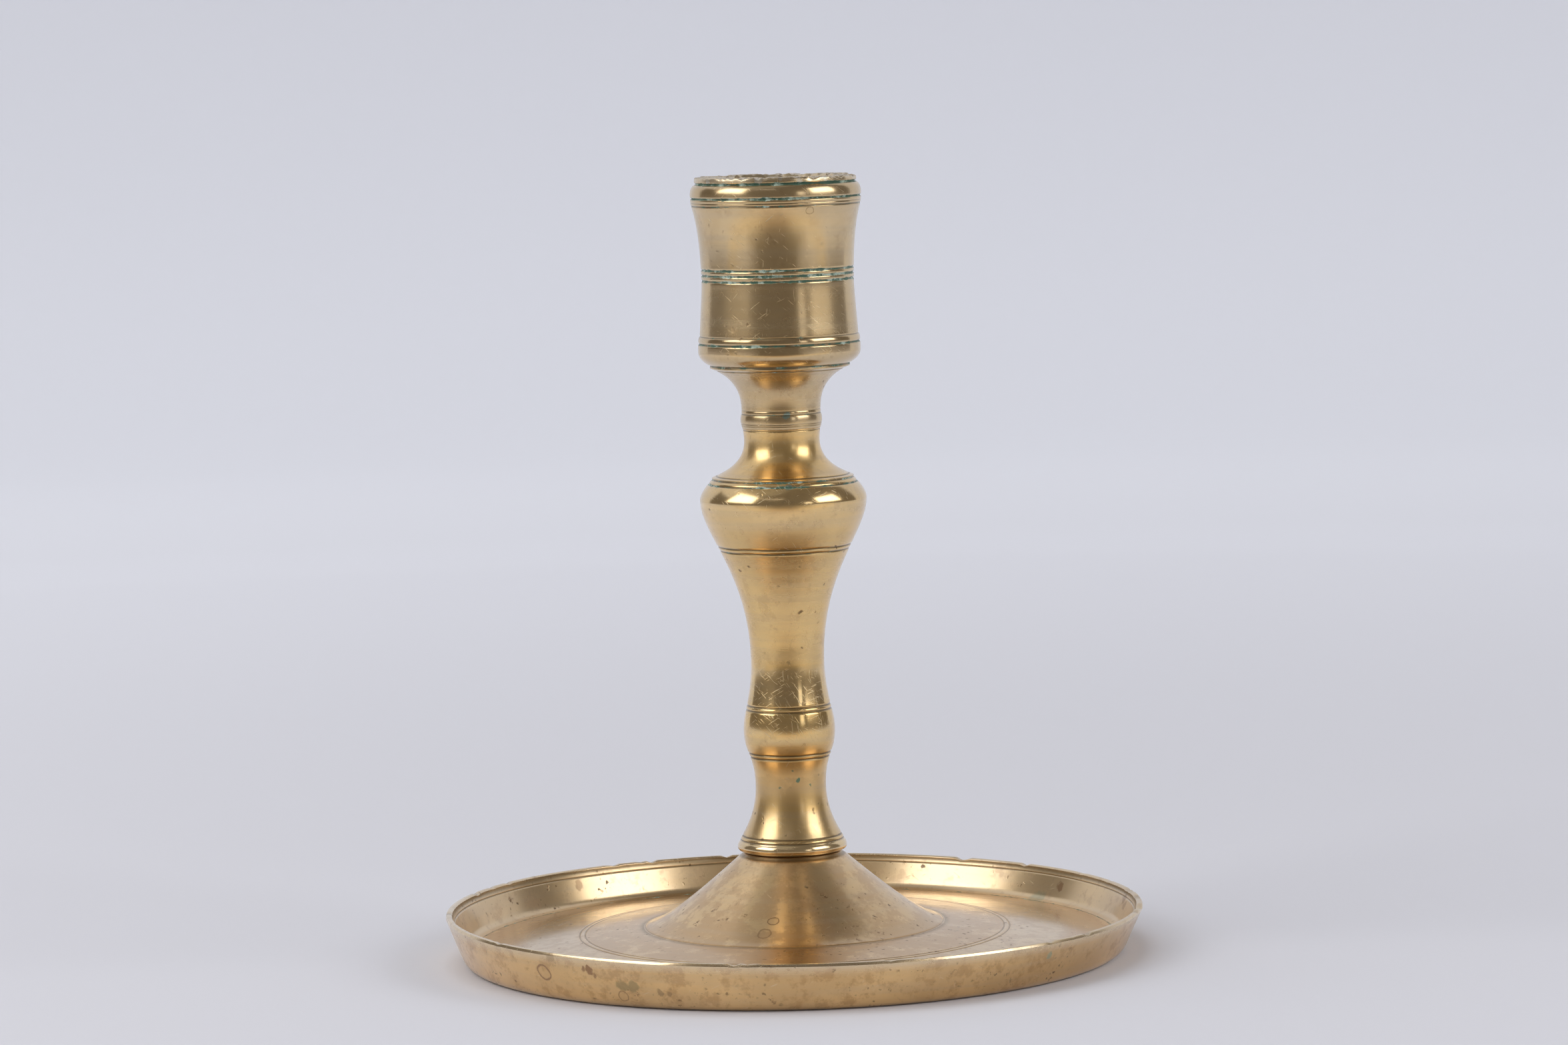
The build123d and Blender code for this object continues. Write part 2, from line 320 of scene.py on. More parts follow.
def addGrimeAndShade(tree, colour, place, look, share):  # grime and painted shade in the grooves, then verdigris over it
    mark = patina["grimeAndShade"]
    grimeAndShade = ramp(tree, share["groove"], *mark["band"], 0, look["grimeAndShade"])
    colour = mixColour(tree, grimeAndShade, colour, mark["tone"])
    mark = patina["green"]
    (least, most), (low, high) = mark["noise"], mark["shift"]
    patchy = addNode(tree, "MapRange", {"Value": specks(tree, place, mark), "From Min": least,
                                        "From Max": most, "To Min": low, "To Max": high}).outputs[0]
    green = ramp(tree, math2(tree, "ADD", share["green"], patchy), *mark["band"])
    green = math2(tree, "MULTIPLY", green, ramp(tree, share["green"], *mark["edge"]))
    crust = patina["crust"]
    crusted = ramp(tree, specks(tree, place, crust), *crust["band"])
    colour = mixColour(tree, green, colour, mixColour(tree, crusted, mark["tone"], crust["tone"]))
    return colour, grimeAndShade, green


def findPits(tree, shaken, look, swarm):  # a few of many cells, in swarms
    mark = patina["pits"]
    cells = addNode(tree, "TexVoronoi", {"Vector": shaken, "Scale": mark["scale"]})
    lot = addNode(tree, "SeparateColor", {0: cells.outputs["Color"]}).outputs[0]
    picked = ramp(tree, lot, 1 - look["pits"], 1 + mark["pick"] - look["pits"])
    pits = math2(tree, "MULTIPLY", ramp(tree, cells.outputs["Distance"], *mark["band"]), picked)
    return math2(tree, "MULTIPLY", pits, swarm)


def findScratches(tree, place, look, share):  # short strokes, more of them where the metal is worn
    mark = patina["scratches"]
    worn = math2(tree, "MULTIPLY", share["worn"], mark["worn"])
    scratches = 0.0
    for angle in look["scratchAngles"]:
        tilt = (angle, mark["tilt"] + angle, angle * mark["twist"])
        turned = addNode(tree, "Mapping", {"Vector": place, "Rotation": tilt, "Scale": mark["size"]},
                         vector_type="TEXTURE").outputs[0]
        streak = math2(tree, "ADD", speckle(tree, turned, 1, 1).outputs["Fac"], worn)
        streak = ramp(tree, streak, *mark["band"], 0, look["scratch"])
        scratches = math2(tree, "MAXIMUM", scratches, streak)
    return scratches


def findRoughness(tree, look, share, haze, masks):  # polish, roughened where it is dull, hazed or marked
    rough = addNode(tree, "MapRange", {"Value": share["dull"], "To Min": look["polish"],
                                       "To Max": look["satin"]}, clamp=False).outputs[0]
    rough = math2(tree, "MULTIPLY", rough, ramp(tree, haze, 0, 1, *patina["rough"]["haze"]))
    for name, mask in masks.items():
        rough = math2(tree, "ADD", rough, math2(tree, "MULTIPLY", mask, patina["rough"][name]))
    return rough


def findRelief(tree, place, look, pits, scratches):  # slow waves, lathe rings, then nicks
    waves = speckle(tree, place, look["waveScale"], patina["waveDetail"]).outputs["Fac"]
    mark = patina["rings"]
    ringPlace = lathePlace(tree, place, mark["drift"])
    rings = speckle(tree, ringPlace, look["ringScale"], mark["detail"]).outputs["Fac"]
    nicks = math2(tree, "ADD", pits, math2(tree, "MULTIPLY", scratches, patina["scratches"]["relief"]))
    normal = addNode(tree, "Bump", {"Height": waves, "Distance": look["waves"]}).outputs[0]
    normal = addNode(tree, "Bump", {"Height": rings, "Distance": look["rings"], "Normal": normal}).outputs[0]
    return addNode(tree, "Bump", {"Height": nicks, "Distance": look["nicks"], "Normal": normal},
                   invert=True).outputs[0]


def brass(name, look):
    material = bpy.data.materials.new(name)
    material.use_nodes = True
    tree = material.node_tree
    sockets = tree.nodes["Principled BSDF"].inputs
    place = addNode(tree, "TexCoord").outputs["Object"]
    share = {layer: addNode(tree, "Attribute", attribute_name=layer).outputs["Fac"] for layer in layers}
    shaken, steady = shakenPlaces(tree, place)
    mark = patina["swarm"]
    swarm = ramp(tree, specks(tree, place, mark), *mark["band"], mark["least"])

    colour, blotches, haze = metalTone(tree, place, look, share)
    colour = addFlecks(tree, colour, place, look, swarm)
    colour, stained = addStains(tree, colour, blotches, look, shaken, steady)
    colour, grimeAndShade, green = addGrimeAndShade(tree, colour, place, look, share)
    pits = findPits(tree, shaken, look, swarm)
    scratches = findScratches(tree, place, look, share)
    darkPits = math2(tree, "MULTIPLY", pits, patina["pits"]["dark"])
    colour = mixColour(tree, darkPits, colour, patina["pits"]["tone"])
    colour = mixColour(tree, scratches, colour, patina["scratches"]["tone"])

    masks = {"pits": pits, "grimeAndShade": grimeAndShade, "stains": stained, "scratches": scratches, "green": green}
    tree.links.new(colour, sockets["Base Color"])
    tree.links.new(findRoughness(tree, look, share, haze, masks), sockets["Roughness"])
    tree.links.new(math2(tree, "SUBTRACT", 1.0, green), sockets["Metallic"])
    tree.links.new(findRelief(tree, place, look, pits, scratches), sockets["Normal"])
    sockets["Coat Weight"].default_value = look["lacquer"]
    sockets["Coat Roughness"].default_value = patina["coatRoughness"]
    sockets["Anisotropic"].default_value = look["brushed"]  # lathe lines spread a highlight up and down
    sockets["Anisotropic Rotation"].default_value = patina["lathe"]
    around = addNode(tree, "Tangent", direction_type="RADIAL", axis="Z")
    tree.links.new(around.outputs[0], sockets["Tangent"])
    return material


# socket

socketShape = {
    "start": (0, 112.9),
    "strokes": [
        [(2.55, 112.9)],
        [(2.55, 103.4)],
        [(7.62, 103.4)],  # seam
        [(8.2, 104.85), (7.74, 106.3)],  # neck bead
        [(7.7, 107.2)],
        [(7.7, 113.0), (13.62, 115.3)],  # cove under the cup
        [(13.8, 115.9)],
        [(15.8, 117.0), (15.8, 118.5)],  # torus
        [(15.8, 119.95)],
        [(15.73, 120.45)],
        [(15.73, 121.2), (15.42, 121.6)],  # ridge
        [(14.81, 130.2), (14.81, 131.1)],  # wall up to the waist
        [(14.81, 141.9), (16.5, 147.0)],  # flare
        [(16.62, 148.15)],
        [(16.62, 148.65)],
        [(16.62, 150.4), (15.78, 150.9)],  # lip
        [(15.78, 151.4)],
        [(15.78, 151.95)],
        [(15.78, 152.4), (15.3, 152.4)],  # rounded rim
        [(12.1, 152.4)],
        [(11.5, 151.8)],  # bore
        [(11.5, 121.4)],
        [(0, 121.4)],
    ],
    "detail": 12,
    "cornerEase": 0.12,
    "longestEdge": 1.1,
    "steps": 240,
    "grooves": [  # point, direction into the metal, half width, depth, verdigris
        ((15.78, 151.1), (-1, 0), 0.45, 0.42, 0.75),
        ((16.62, 148.3), (-1, 0), 0.42, 0.40, 0.70),
        ((16.55, 147.45), (-1, 0), 0.28, 0.07, 0.10),
        ((16.48, 146.85), (-1, 0), 0.36, 0.14, 0.42),
        ((14.92, 134.45), (-1, 0), 0.42, 0.26, 0.72),
        ((14.87, 133.4), (-1, 0), 0.42, 0.26, 0.76),
        ((14.84, 132.35), (-1, 0), 0.42, 0.26, 0.68),
        ((15.45, 121.55), (-1, 0), 0.34, 0.10, 0.30),
        ((15.75, 120.1), (-1, 0), 0.45, 0.36, 0.62),
        ((13.75, 115.75), (-1, 0.6), 0.42, 0.22, 0.45),
        ((12.5, 114.8), (-0.6, 0.8), 0.42, 0.20, 0.40),
        ((7.72, 107.0), (-1, 0), 0.30, 0.06, 0.10),
        ((7.76, 106.25), (-1, 0), 0.32, 0.11, 0.36),
        ((7.86, 104.4), (-1, 0), 0.28, 0.07, 0.10),
        ((7.80, 104.0), (-1, 0), 0.26, 0.07, 0.10),
    ],
    "dullZones": [(121.6, 131.7, 0.75), (131.7, 147.2, 0.15), (106.6, 115.2, 0.85), (103, 106.6, 0.5),
                  (148.2, 151.0, 0.45), (151.2, 153, 0.9)],
    "wornZones": [(121, 131.7, 0.3), (134.6, 146.6, 0.2), (116, 120, 0.4), (148, 151, 0.3)],
    "paleZones": [(151.4, 153, 0.35)],
    "rimWear": {"from": 151.3, "least": 0.10, "slow": 0.34, "slowLobes": (5, 4.1), "quick": 0.26,
                "quickLobes": (40, 1.7), "crumble": 0.6, "crumbScale": 1300, "crumbShare": 0.1,
                "outside": 14.5, "shrink": 0.006, "uneven": 0.012, "unevenLobes": (9, 8.3)},
}

paleCrust = (0.72, 0.66, 0.54)
socketLook = {
    "gold": (0.735, 0.55, 0.305), "deep": (0.615, 0.44, 0.23),
    "brown": (0.49, 0.32, 0.15), "grey": (0.60, 0.49, 0.33),
    "tarnish": 0.6, "blotch": 0.25, "haze": 0.35, "grimeAndShade": 0.75,
    "polish": 0.19, "satin": 0.30, "brushed": 0.62, "lacquer": 0.4,
    "pits": 0.12, "flecks": 0.25, "scratch": 0.35, "scratchAngles": (0.3, 1.2, 2.3, 3.4),
    "ringScale": 900.0, "cloudScale": 55.0, "waveScale": 120.0,
    "waves": 0.00003, "rings": 0.0000045, "nicks": 0.00004,
    "stains": [  # centre and radius in mm, whether it is a ring, tint, strength
        ((-12.6, -8.8, 152.0), 0.7, False, paleCrust, 0.8),  # flecks on the worn rim
        ((-3.2, -15.2, 151.9), 0.9, False, paleCrust, 0.8),
        ((0.9, -15.4, 152.1), 0.6, False, paleCrust, 0.9),
        ((4.4, -14.8, 151.8), 0.8, False, paleCrust, 0.8),
        ((9.4, -12.2, 152.0), 1.0, False, paleCrust, 0.7),
        ((0.9, -7.75, 106.3), 0.75, False, (0.36, 0.50, 0.45), 0.9),  # pale green on the neck bead
        ((6.5, -14.8, 145.9), 0.9, True, (0.36, 0.24, 0.11), 0.7),
    ],
}


def wearSocketRim(bm):
    wear = socketShape["rimWear"]
    start = wear["from"]
    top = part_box("socket")[1].z / mm
    for v in bm.verts:
        worn = max(0, (v.co.z / mm - start) / (top - start))
        if worn > 0:
            angle = math.atan2(v.co.y, v.co.x)
            drop = wear["least"] + wear["slow"] * ripple(angle, *wear["slowLobes"])
            drop += wear["quick"] * ripple(angle, *wear["quickLobes"])
            drop += wear["crumble"] * max(0, noise.noise(v.co * wear["crumbScale"]) + wear["crumbShare"])
            v.co.z -= max(0, drop) * worn * mm
            if v.co.xy.length > wear["outside"] * mm:
                shrink = wear["shrink"] + wear["uneven"] * ripple(angle, *wear["unevenLobes"])
                v.co.xy *= 1 - worn * max(0, shrink)


def makeSocket():
    bm = turnedBlank(socketShape)
    for layer in ("dull", "worn", "pale"):
        paintZones(bm, layer, socketShape[layer + "Zones"], lambda co: co.z)
    turn(bm, socketShape["steps"])
    wearSocketRim(bm)
    addPiece("socket_turned", bm, brass("socket brass", socketLook), "socket", "socket")


# stem

stemShape = {
    "start": (0, 30.8),
    "strokes": [
        [(3.05, 30.8)],
        [(3.05, 20.3)],
        [(9.2, 20.3)],
        [(9.9, 20.45), (10.55, 20.7), (10.7, 21.35)],  # collar bead
        [(10.7, 22.1), (10.2, 22.55)],
        [(10.15, 22.9)],
        [(6.89, 27.96), (6.89, 33.2)],  # cove
        [(6.89, 39.5), (8.95, 39.6), (8.95, 44.5)],  # bulge
        [(8.95, 47.65), (7.15, 51.4), (7.15, 57.9)],
        [(7.15, 75.3), (16.24, 82.85), (16.24, 89.5)],  # taper up to the knop
        [(16.24, 91.0), (13.9, 93.5)],
        [(13.9, 93.9)],  # shoulder
        [(7.35, 96.2), (7.35, 101.0)],  # upper cove
        [(7.35, 102.2), (7.62, 103.4)],
        [(2.55, 103.4)],
        [(2.55, 93.9)],
        [(0, 93.9)],
    ],
    "detail": 16,
    "cornerEase": 0.10,
    "longestEdge": 1.0,
    "steps": 224,
    "grooves": [
        ((9.9, 20.42), (-0.6, 0.8), 0.60, 0.12, 0.0),  # painted shadow under the collar, in a shallow cut
        ((10.0, 23.75), (-1, 0), 0.40, 0.16, 0.10),
        ((10.15, 22.85), (-1, 0), 0.36, 0.20, 0.15),
        ((7.9, 39.05), (-1, 0), 0.42, 0.22, 0.22),
        ((8.1, 39.9), (-1, 0), 0.42, 0.22, 0.18),
        ((8.4, 48.4), (-1, 0), 0.44, 0.22, 0.22),
        ((8.2, 49.3), (-1, 0), 0.44, 0.22, 0.26),
        ((12.7, 79.75), (-1, 0), 0.42, 0.22, 0.30),
        ((13.0, 80.6), (-1, 0), 0.42, 0.22, 0.26),
        ((14.5, 92.75), (-0.7, -0.7), 0.45, 0.24, 0.55),
        ((13.9, 93.7), (-1, -0.4), 0.42, 0.22, 0.48),
        ((12.95, 94.3), (-0.4, -1), 0.40, 0.18, 0.16),
        ((7.55, 103.1), (-1, 0), 0.28, 0.10, 0.10),
    ],
    "dullZones": [(23, 33, 1.1), (32, 42.5, 1.1), (57, 79.5, 0.7), (81, 89, 0.6), (94.3, 103.3, 1.0)],
    "wornZones": [(42, 57, 1.0), (22, 32, 0.5), (86, 93, 0.4), (95, 102, 0.4)],
    "paleZones": [(20.0, 23.2, 0.3), (23, 29, 0.1), (49.5, 57, 0.12), (84, 93.5, 0.1)],
    "brownZones": [(23.2, 36, 0.9)],
}

stemLook = {
    "gold": (0.92, 0.635, 0.268), "deep": (0.77, 0.52, 0.213),
    "brown": (0.48, 0.30, 0.13), "grey": (0.62, 0.48, 0.29),
    "tarnish": 0.6, "blotch": 0.25, "haze": 0.32, "grimeAndShade": 0.8,
    "polish": 0.19, "satin": 0.32, "brushed": 0.5, "lacquer": 0.6,
    "pits": 0.12, "flecks": 0.2, "scratch": 0.5, "scratchAngles": (0.5, 1.4, 2.6, 3.3),
    "ringScale": 900.0, "cloudScale": 60.0, "waveScale": 140.0,
    "waves": 0.000025, "rings": 0.000004, "nicks": 0.00003,
    "stains": [
        ((1.3, -6.8, 35.2), 0.6, False, (0.14, 0.30, 0.21), 0.9),  # verdigris dots
        ((0.5, -7.0, 36.7), 0.35, False, (0.14, 0.28, 0.20), 0.9),
        ((3.9, -5.9, 33.8), 0.35, False, (0.16, 0.26, 0.16), 0.8),
        ((-2.0, -6.7, 33.7), 0.3, False, (0.16, 0.26, 0.16), 0.7),
        ((1.2, -14.4, 92.9), 0.9, False, (0.32, 0.46, 0.42), 0.75),
        ((2.4, -6.9, 61.6), 2.2, True, (0.42, 0.27, 0.12), 0.12),  # faint ring on the taper
    ],
}


def makeStem():
    bm = turnedBlank(stemShape)
    for layer in ("dull", "worn", "pale", "brown"):
        paintZones(bm, layer, stemShape[layer + "Zones"], lambda co: co.z)
    turn(bm, stemShape["steps"])
    addPiece("stem_turned", bm, brass("stem brass", stemLook), "stem", "stem")


# tray

trayShape = {
    "start": (9.6, 20.3),
    "strokes": [
        [(25.0, 6.6), (29.6, 6.0)],  # cone
        [(62.3, 2.75)],  # floor
        [(64.2, 2.6), (64.8, 4.0)],  # cove in the corner
        [(66.95, 9.55)],
        [(67.15, 10.0), (67.6, 10.0)],  # rim
        [(68.05, 10.0), (68.14, 9.9)],
        [(68.32, 9.42)],  # worn edge
        [(65.2, 1.9)],  # outer wall
        [(64.4, 0.0), (62.4, 0.0)],
        [(53.4, 0.0)],  # foot ring
        [(53.4, 1.43)],
        [(29.5, 3.79)],
        [(24.4, 4.45), (8.14, 18.65)],  # hollow under the cone
        [(6.55, 18.65)],
        [(6.55, 9.3)],  # boss
        [(3.05, 9.3)],
        [(3.05, 20.3)],
        [(9.6, 20.3)],
    ],
    "detail": 18,
    "cornerEase": 0.12,
    "longestEdge": 2.4,
    "steps": 336,
    "grooves": [
        ((66.75, 9.0), (1, 0), 0.30, 0.14, 0.0),
        ((66.5, 8.45), (1, 0), 0.30, 0.14, 0.0),
        ((62.9, 2.85), (0, -1), 0.45, 0.10, 0.42),
        ((42.2, 4.75), (0, -1), 0.36, 0.13, 0.0),
        ((41.1, 4.85), (0, -1), 0.36, 0.13, 0.0),
        ((30.1, 5.95), (0, -1), 0.34, 0.08, 0.0),
        ((29.2, 6.05), (0, -1), 0.34, 0.08, 0.0),
        ((10.1, 19.9), (-0.5, -1), 1.1, 0.14, 0.12),  # painted shadow under the stem's collar, with a little verdigris
    ],
    "dullZones": [(8, 29.5, 0.62), (29, 41, 0.5), (42.5, 55, 0.1), (55, 61.5, 0.25), (61.5, 70, 0.7)],
    "brownZones": [(8, 24, 0.4), (24, 41.5, 0.7), (41.5, 53, 0.3), (53, 62.5, 1.0)],
    "paleZones": [(8, 29, 0.16), (29, 41.5, 0.12), (42.5, 54, 0.22)],
    "innerWall": (61.6, 63.9, 0.3),  # bleached, in mm of radius less the wall's lean
    "outerWall": (64.1, 65.2, 0.22),  # browned, measured in the same way
    "lean": 0.408,
    "rubbedEdge": {"outside": 66, "from": 9.4, "dull": 0.15, "pale": 0.45},
    "rimWear": {"outside": 55, "from": 2.9, "over": 7, "least": -0.15, "tilt": 0.55, "slow": 0.10,
                "slowLobes": (7, 2.2), "edgeFrom": 9.2, "edgeOver": 0.8, "edgeDull": 1.6, "nicks": 1.5,
                "nickLobes": (110, 5.5), "nicksAbove": 0.30, "shrink": 0.0022, "shrinkLobes": (4, 6.1)},
}

copper = (0.34, 0.18, 0.085)
umber = (0.33, 0.21, 0.105)
olive = (0.40, 0.30, 0.14)
trayLook = {
    "gold": (0.87, 0.585, 0.265), "deep": (0.68, 0.445, 0.20),
    "brown": (0.55, 0.31, 0.12), "grey": (0.64, 0.49, 0.31),
    "tarnish": 0.65, "blotch": 0.6, "haze": 0.25, "grimeAndShade": 0.55,
    "polish": 0.20, "satin": 0.36, "brushed": 0.5, "lacquer": 0.5,
    "pits": 0.20, "flecks": 0.8, "scratch": 0.4, "scratchAngles": (0.2, 1.1, 1.9, 2.7),
    "ringScale": 700.0, "cloudScale": 50.0, "waveScale": 90.0,
    "waves": 0.000022, "rings": 0.000002, "nicks": 0.00004,
    "stains": [
        ((-47.2, -47.2, 5.6), 1.9, True, copper, 0.85),  # ring left on the outer wall
        ((-46.0, -50.1, 8.8), 1.3, False, umber, 0.45),
        ((-38.5, -55.3, 7.1), 1.0, False, copper, 0.85),
        ((-39.6, -54.5, 7.3), 0.6, False, copper, 0.8),
        ((-37.6, -55.8, 6.2), 0.6, False, copper, 0.7),
        ((-32.3, -57.9, 4.5), 1.5, False, olive, 0.75),
        ((-30.3, -58.9, 4.4), 1.5, False, olive, 0.75),
        ((-32.1, -57.0, 2.4), 1.2, True, copper, 0.6),
        ((-25.2, -60.9, 3.5), 0.9, False, umber, 0.6),
        ((-23.4, -61.5, 3.4), 0.7, False, umber, 0.5),
        ((47.5, -47.3, 6.3), 0.9, False, (0.34, 0.44, 0.31), 0.6),
        ((54.0, 37.1, 6.0), 1.3, False, copper, 0.75),  # spots on the inner wall
        ((65.1, 8.9, 6.2), 1.3, False, copper, 0.5),
        ((65.4, 10.6, 7.4), 1.2, False, copper, 0.5),
        ((-44.0, 49.0, 7.0), 1.3, False, copper, 0.5),
        ((49.0, 40.0, 3.2), 2.6, False, (0.26, 0.36, 0.26), 0.4),  # green in the corner
        ((30.3, 19.2, 5.3), 1.6, False, copper, 0.45),  # smudges on the floor
        ((36.5, 12.6, 5.1), 1.8, False, copper, 0.35),
        ((-31.7, 25.0, 4.9), 2.2, False, copper, 0.45),
        ((-4.1, -21.9, 9.9), 1.2, True, copper, 0.8),  # rings on the cone
        ((-5.8, -24.4, 8.0), 1.5, True, copper, 0.6),
    ],
}


def rubEdge(bm):
    edge = trayShape["rubbedEdge"]
    for v in bm.verts:
        if v.co.x > edge["outside"] * mm and v.co.z > edge["from"] * mm:
            v[bm.verts.layers.float["dull"]] = edge["dull"]
            v[bm.verts.layers.float["pale"]] = edge["pale"]


def wearTrayRim(bm):  # the worn rim stands lower on one side, and has nicks
    wear = trayShape["rimWear"]
    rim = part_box("tray")[1].x
    dullLayer = bm.verts.layers.float["dull"]
    for v in bm.verts:
        rise = min(1, max(0, (v.co.z / mm - wear["from"]) / wear["over"]))
        if v.co.xy.length < wear["outside"] * mm or rise == 0:
            continue
        angle = math.atan2(v.co.y, v.co.x)
        drop = wear["least"] + wear["tilt"] * (1 + v.co.x / rim)
        drop += wear["slow"] * (1 + ripple(angle, *wear["slowLobes"]))
        edge = max(0, (v.co.z / mm - wear["edgeFrom"]) / wear["edgeOver"])
        drop += edge * wear["nicks"] * max(0, ripple(angle, *wear["nickLobes"]) - wear["nicksAbove"])
        v[dullLayer] += edge * wear["edgeDull"] * max(0, v.co.x / rim)
        v.co.z -= drop * rise * mm
        v.co.xy *= 1 - rise * wear["shrink"] * (1 + ripple(angle, *wear["shrinkLobes"]))


def makeTray():
    bm = turnedBlank(trayShape)
    for layer in ("dull", "brown", "pale"):
        paintZones(bm, layer, trayShape[layer + "Zones"], lambda co: co.x)
    for layer, wall in (("pale", "innerWall"), ("brown", "outerWall")):
        paintZones(bm, layer, [trayShape[wall]], lambda co: co.x - trayShape["lean"] * co.z)
    rubEdge(bm)
    turn(bm, trayShape["steps"])
    wearTrayRim(bm)
    addPiece("tray_turned", bm, brass("tray brass", trayLook), "tray", "tray")


# studs

studShape = {
    "pitch": 1.25, "threadDepth": 0.65, "lead": 0.5,  # mm
    "crestFrom": 0.42, "crestTo": 0.52, "rootFrom": 0.94,  # shares of a pitch
    "startBelow": 1.5, "spareTurns": 2,  # pitches past the ends, cut off again
    "stepsPerTurn": 40,
}

studLook = {
    "gold": (0.74, 0.54, 0.26), "deep": (0.60, 0.41, 0.19),
    "brown": (0.46, 0.30, 0.14), "grey": (0.55, 0.45, 0.31),
    "tarnish": 0.5, "blotch": 0.2, "haze": 0.4, "grimeAndShade": 0.6,
    "polish": 0.2, "satin": 0.3, "brushed": 0.3, "lacquer": 0.1,
    "pits": 0.05, "flecks": 0.0, "scratch": 0.2, "scratchAngles": (0.7, 2.0),
    "ringScale": 2600.0, "cloudScale": 90.0, "waveScale": 200.0,
    "waves": 0.00001, "rings": 0.000004, "nicks": 0.00002,
    "stains": [],
}


def makeStud(node, material):
    low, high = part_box(node)
    crest = high.x
    pitch = studShape["pitch"] * mm
    root = crest - studShape["threadDepth"] * mm
    turns = math.ceil((high.z - low.z) / pitch) + studShape["spareTurns"]
    start = low.z - studShape["startBelow"] * pitch
    bm = bmesh.new()
    outline = ((root, 0), (crest, studShape["crestFrom"]), (crest, studShape["crestTo"]),
               (root, studShape["rootFrom"]), (root, 1))  # one pitch of the thread
    knots = [bm.verts.new((radius, 0, start + share * pitch)) for radius, share in outline]
    for before, after in zip(knots, knots[1:]):
        bm.edges.new((before, after))
    steps = turns * studShape["stepsPerTurn"]
    bmesh.ops.spin(bm, geom=bm.verts[:] + bm.edges[:], cent=(0, 0, 0), axis=(0, 0, 1),
                   dvec=(0, 0, pitch / studShape["stepsPerTurn"]), angle=2 * math.pi * turns, steps=steps,
                   use_merge=False, use_normal_flip=False, use_duplicate=False)
    bmesh.ops.remove_doubles(bm, verts=bm.verts[:], dist=2e-6)
    for level, facing in ((low.z, -1), (high.z, 1)):
        cut = bmesh.ops.bisect_plane(bm, geom=bm.verts[:] + bm.edges[:] + bm.faces[:],
                                     plane_co=(0, 0, level), plane_no=(0, 0, facing), clear_outer=True)
        mouth = [e for e in cut["geom_cut"] if isinstance(e, bmesh.types.BMEdge)]
        bmesh.ops.contextual_create(bm, geom=mouth)
    for v in bm.verts:
        widest = crest - max(0, studShape["lead"] * mm - min(v.co.z - low.z, high.z - v.co.z))
        if v.co.xy.length > widest:
            v.co.xy *= widest / v.co.xy.length
    bmesh.ops.recalc_face_normals(bm, faces=bm.faces[:])
    addPiece(node + "_thread", bm, material, node, node)


# studio: pale paper that sweeps up all round, soft boxes, and the cards and dim room that the brass mirrors

studio = {  # in metres, apart from the levels and the sweep, which are in mm
    "paper": {"tone": (0.715, 0.72, 0.765), "roughness": 0.9, "shine": 0.1},
    "fibre": {"tone": (0.62, 0.62, 0.66), "scale": 900, "detail": 3, "band": (0.3, 0.7), "strength": 0.05},
    "table": {"front": 0.43, "side": 1.3, "back": 1.3, "wingFrom": 0.45, "wingFront": 0.9, "level": -0.03},
    "sweep": {"level": -0.06, "flat": 1300, "knee": 2300, "wall": 2500, "bend": 1200, "top": 2600,
              "detail": 24, "steps": 96},
    # painted light on the paper, as a glow
    "glow": {"near": 0.05, "full": 1.25, "fades": 1.6, "far": 2.4, "radiance": 0.295, "farRadiance": 0.205,
             "tint": (0.94, 0.97, 1.05)},
    "room": (0.17, 0.155, 0.14),
    "boxes": {  # azimuths and elevations in degrees, seen from the stick
        "left_box": {"from": -88, "to": -45, "low": 19, "high": 50, "away": 0.9, "radiance": 3.0},
        "right_box": {"from": 50, "to": 87, "low": 13, "high": 40, "away": 0.9, "radiance": 3.1},
        "small_box": {"from": 30, "to": 40, "low": 6, "high": 20, "away": 0.9, "radiance": 1.3},
    },
    "boxTint": (1.0, 0.99, 0.98),
    "fill": {"size": 1.2, "height": 1.5, "left": 0.5, "radiance": 1.7},
    "sheets": {
        "back_sheet": {"from": 119, "to": 238, "low": 0, "high": 1.3, "reach": 0.9, "radiance": 0.64},
        "side_sheet": {"from": 205, "to": 266, "low": 0.66, "high": 1.7, "reach": 0.85, "radiance": 0.7},
        "front_strip": {"from": -35, "to": 0, "low": 0.91, "high": 0.95, "reach": 0.9, "radiance": 2.4},
    },
    "sheetTint": (0.97, 0.98, 1.04),
    "sheetSteps": 32,
    "ceiling": {"reach": 0.9, "left": 0.62, "height": 1.5, "radiance": 0.33, "tint": (1, 0.97, 0.92),
                "sides": 48},
    # glow tones of the card that paints the table's reflection: painted light and shade
    "frontCard": {"middle": (0.90, 0.755, 0.575), "edge": (0.34, 0.265, 0.19), "beside": (0.86, 0.77, 0.62),
                  "besideBand": (0.05, 0.22), "edgeBand": (-0.20, -0.40), "shownBand": (-0.12, -0.30),
                  "side": 1.3, "near": 0.10, "far": 0.43, "level": 0.05},
    "aim": 0.09,
}


def paperMaterial():
    material = bpy.data.materials.new("studio paper")
    material.use_nodes = True
    tree = material.node_tree
    sockets = tree.nodes["Principled BSDF"].inputs
    place = addNode(tree, "TexCoord").outputs["Object"]
    paper, fibre, glow = studio["paper"], studio["fibre"], studio["glow"]
    fibres = ramp(tree, specks(tree, place, fibre), *fibre["band"], 0, fibre["strength"])
    tree.links.new(mixColour(tree, fibres, paper["tone"], fibre["tone"]), sockets["Base Color"])
    sockets["Roughness"].default_value = paper["roughness"]
    sockets["Specular IOR Level"].default_value = paper["shine"]
    away = addNode(tree, "VectorMath", {0: place}, operation="LENGTH").outputs["Value"]
    sockets["Emission Color"].default_value = (*glow["tint"], 1)  # painted light: the paper glows, rising away from the stick and easing off far out, in place of lamps of its own
    nearGlow = ramp(tree, away, glow["near"], glow["full"], 0, glow["radiance"])
    lost = ramp(tree, away, glow["fades"], glow["far"], 0, glow["radiance"] - glow["farRadiance"])
    tree.links.new(math2(tree, "SUBTRACT", nearGlow, lost), sockets["Emission Strength"])
    return material


